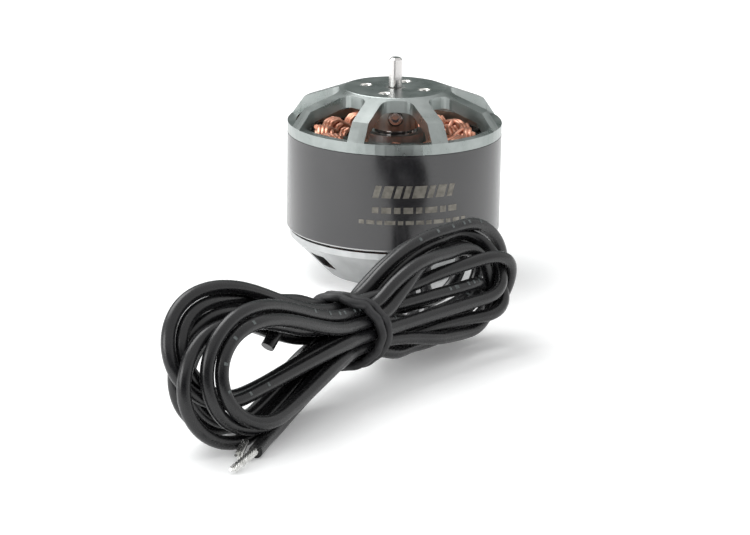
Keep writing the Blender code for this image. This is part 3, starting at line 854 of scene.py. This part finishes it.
def black_lacquer():
    """Glossy black over the steel can, with the ground edge bare at the bottom."""
    made, tree, shader = shader_material("black_can", (0.012, 0.012, 0.014), 0.2)
    shader.inputs["IOR"].default_value = 1.8
    place = add_node(tree, "ShaderNodeTexCoord", {}).outputs["Object"]
    height = add_node(tree, "ShaderNodeSeparateXYZ", {}, Vector=place).outputs["Z"]
    edge = map_range(tree, height, 1.0, 0.0, 9.4 * MM, 9.5 * MM)
    patches = noise(tree, 300.0, 5.0)
    paint = ramp(tree, patches, ((0.3, (0.009, 0.009, 0.011)), (0.7, (0.017, 0.016, 0.018))))
    mix = tree.nodes.new("ShaderNodeMix")
    mix.data_type = "RGBA"
    tree.links.new(edge, mix.inputs["Factor"])
    tree.links.new(paint, mix.inputs[6])
    mix.inputs[7].default_value = (0.6, 0.6, 0.6, 1.0)
    tree.links.new(mix.outputs[2], shader.inputs["Base Color"])
    tree.links.new(edge, shader.inputs["Metallic"])
    fine = noise(tree, 2600.0, 3.0)
    tree.links.new(map_range(tree, fine, 0.16, 0.27), shader.inputs["Roughness"])
    tree.links.new(bump(tree, fine, 0.06, 0.03 * MM), shader.inputs["Normal"])
    return made


def stacked_laminations():
    """Thin sheets of steel on edge, lighter on their faces than between them."""
    made, tree, shader = shader_material("laminations", (0.12, 0.12, 0.13), 0.45, 0.8)
    place = add_node(tree, "ShaderNodeTexCoord", {}).outputs["Object"]
    settings = {"Scale": 900.0, "Distortion": 0.3, "bands_direction": "Z"}
    layers = add_node(tree, "ShaderNodeTexWave", settings, Vector=place).outputs["Fac"]
    sheets = ramp(tree, layers, ((0.2, (0.04, 0.04, 0.045)), (0.6, (0.2, 0.2, 0.21))))
    tree.links.new(sheets, shader.inputs["Base Color"])
    tree.links.new(map_range(tree, layers, 0.5, 0.35), shader.inputs["Roughness"])
    tree.links.new(bump(tree, layers, 0.5, 0.1 * MM), shader.inputs["Normal"])
    return made


def all_looks():
    """The finish of each of the record's material slots."""
    silicone, _, shader = detailed(
        "black_silicone",
        dark=(0.004, 0.004, 0.005),
        light=(0.009, 0.009, 0.01),
        metallic=0.0,
        roughness=(0.24, 0.34),
        mottle=160.0,
        grain=1500.0,
        relief=0.12,
    )
    shader.inputs["Sheen Weight"].default_value = 0.05
    shader.inputs["Sheen Roughness"].default_value = 0.4
    copper, _, shader = detailed(
        "enamelled_copper",
        dark=(0.8, 0.32, 0.19),
        light=(0.97, 0.52, 0.36),
        metallic=0.75,
        roughness=(0.34, 0.5),
        mottle=420.0,
        grain=2400.0,
        relief=0.2,
    )
    shader.inputs["Coat Weight"].default_value = 0.6
    shader.inputs["Coat Roughness"].default_value = 0.2
    looks = {}
    for name, dark, light, roughness in TURNED_METALS:
        looks[name] = turned_metal(name, dark, light, roughness)
    looks["black_can"] = black_lacquer()
    looks["lamination_steel"] = stacked_laminations()
    looks["insulating_board"] = detailed(
        "insulating_board",
        dark=(0.02, 0.035, 0.028),
        light=(0.045, 0.07, 0.055),
        metallic=0.0,
        roughness=(0.5, 0.7),
        mottle=500.0,
        grain=3000.0,
        relief=0.3,
    )[0]
    looks["copper_wire"] = copper
    looks["black_rubber"] = detailed(
        "black_rubber",
        dark=(0.014, 0.014, 0.015),
        light=(0.028, 0.028, 0.03),
        metallic=0.0,
        roughness=(0.42, 0.6),
        mottle=300.0,
        grain=2200.0,
        relief=0.25,
    )[0]
    looks["black_silicone"] = silicone
    looks["tinned_copper"] = detailed(
        "tinned_copper",
        dark=(0.55, 0.55, 0.53),
        light=(0.88, 0.88, 0.86),
        metallic=0.95,
        roughness=(0.18, 0.36),
        mottle=700.0,
        grain=3500.0,
        relief=0.3,
    )[0]
    return looks


def ink(name, dark, light, metallic, roughness, mottle, grain):
    """Print that lies on another surface."""
    return detailed(name, dark, light, metallic, roughness, mottle, grain, relief=0.2)[0]


def finish_cad_nodes(looks):
    """Every CAD node takes the look of its material slot."""
    for part in frame["record"]["subparts"]:
        mesh = frame["nodes"][part["node"]].data
        mesh.materials.clear()
        mesh.materials.append(looks[part["material_slot"]])


# ---------------------------------------------------------------- stage


def add_floor():
    """A plain white sweep with a little glow of its own, so that it stays pale far away."""
    reach = 1.5
    mesh = bpy.data.meshes.new("floor")
    corners = [(-reach, -reach, 0), (reach, -reach, 0), (reach, reach, 0), (-reach, reach, 0)]
    mesh.from_pydata(corners, [], [(0, 1, 2, 3)])
    floor = bpy.data.objects.new("floor", mesh)
    bpy.context.scene.collection.objects.link(floor)
    look, _, shader = detailed(
        "white_sweep",
        dark=(0.93, 0.94, 0.94),
        light=(0.96, 0.96, 0.96),
        metallic=0.0,
        roughness=(0.6, 0.75),
        mottle=20.0,
        grain=400.0,
        relief=0.02,
    )
    shader.inputs["Emission Color"].default_value = WHITE
    shader.inputs["Emission Strength"].default_value = 0.16
    mesh.materials.append(look)


def add_world():
    """A white tent: dark in front, greenish grey at the back, a little grey on the right."""
    world = bpy.data.worlds.new("tent")
    bpy.context.scene.world = world
    world.use_nodes = True
    tree = world.node_tree
    ray = add_node(tree, "ShaderNodeTexCoord", {}).outputs["Generated"]
    split = add_node(tree, "ShaderNodeSeparateXYZ", {}, Vector=ray)
    turn = add_node(tree, "ShaderNodeMath", {"operation": "ARCTAN2"})
    back = add_node(tree, "ShaderNodeMath", {"operation": "MULTIPLY"})
    back.inputs[1].default_value = -1.0
    tree.links.new(split.outputs["Y"], back.inputs[0])
    tree.links.new(split.outputs["X"], turn.inputs[0])
    tree.links.new(back.outputs[0], turn.inputs[1])
    share = map_range(tree, turn.outputs[0], 0.0, 1.0, -math.pi, math.pi)
    walls = ramp(tree, share, [((angle + 180) / 360, colour) for angle, colour in TENT_WALLS])
    lift = map_range(tree, split.outputs["Z"], 0.0, 1.0, 0.45, 0.65)
    mix = tree.nodes.new("ShaderNodeMix")
    mix.data_type = "RGBA"
    tree.links.new(lift, mix.inputs["Factor"])
    tree.links.new(walls, mix.inputs[6])
    mix.inputs[7].default_value = WHITE
    tree.links.new(mix.outputs[2], tree.nodes["Background"].inputs["Color"])
    tree.nodes["Background"].inputs["Strength"].default_value = 0.9


def add_light(name, place, size, power):
    """A soft square lamp that faces the motor."""
    data = bpy.data.lights.new(name, "AREA")
    data.size = size
    data.energy = power
    lamp = bpy.data.objects.new(name, data)
    bpy.context.scene.collection.objects.link(lamp)
    lamp.location = place
    aim = Vector((0.0, -0.03, 0.01)) - lamp.location
    lamp.rotation_euler = aim.to_track_quat("-Z", "Y").to_euler()


# ---------------------------------------------------------------- the scene

looks = all_looks()
finish_cad_nodes(looks)
bright_cast = turned_metal("base_aluminium", (0.42, 0.43, 0.43), (0.56, 0.57, 0.57), (0.3, 0.42))
frame["nodes"]["base"].data.materials[0] = bright_cast
add_camera()
leads = add_leads(looks["black_silicone"])
tie, tie_points = add_tie(looks["black_rubber"], leads)
tips = add_bare_ends(looks["tinned_copper"])
add_windings(looks["copper_wire"])
add_can(looks["black_can"])
add_thread_inserts(looks["nickel_plate"])
grey = ink("pad_print", (0.15, 0.14, 0.12), (0.27, 0.255, 0.22), 0.3, (0.35, 0.5), 900.0, 4000.0)
add_can_marks(grey)
faint = ink("faint_print", (0.05, 0.06, 0.06), (0.15, 0.17, 0.17), 0.0, (0.4, 0.6), 1500.0, 5000.0)
add_lead_marks(leads, faint)

add_floor()
add_world()
add_light("key", Vector((-0.35, 0.25, 0.7)), 0.6, 4.0)
add_light("left_panel", Vector((-0.6, -0.35, 0.3)), 0.4, 2.0)
bpy.context.scene.view_settings.view_transform = "Standard"
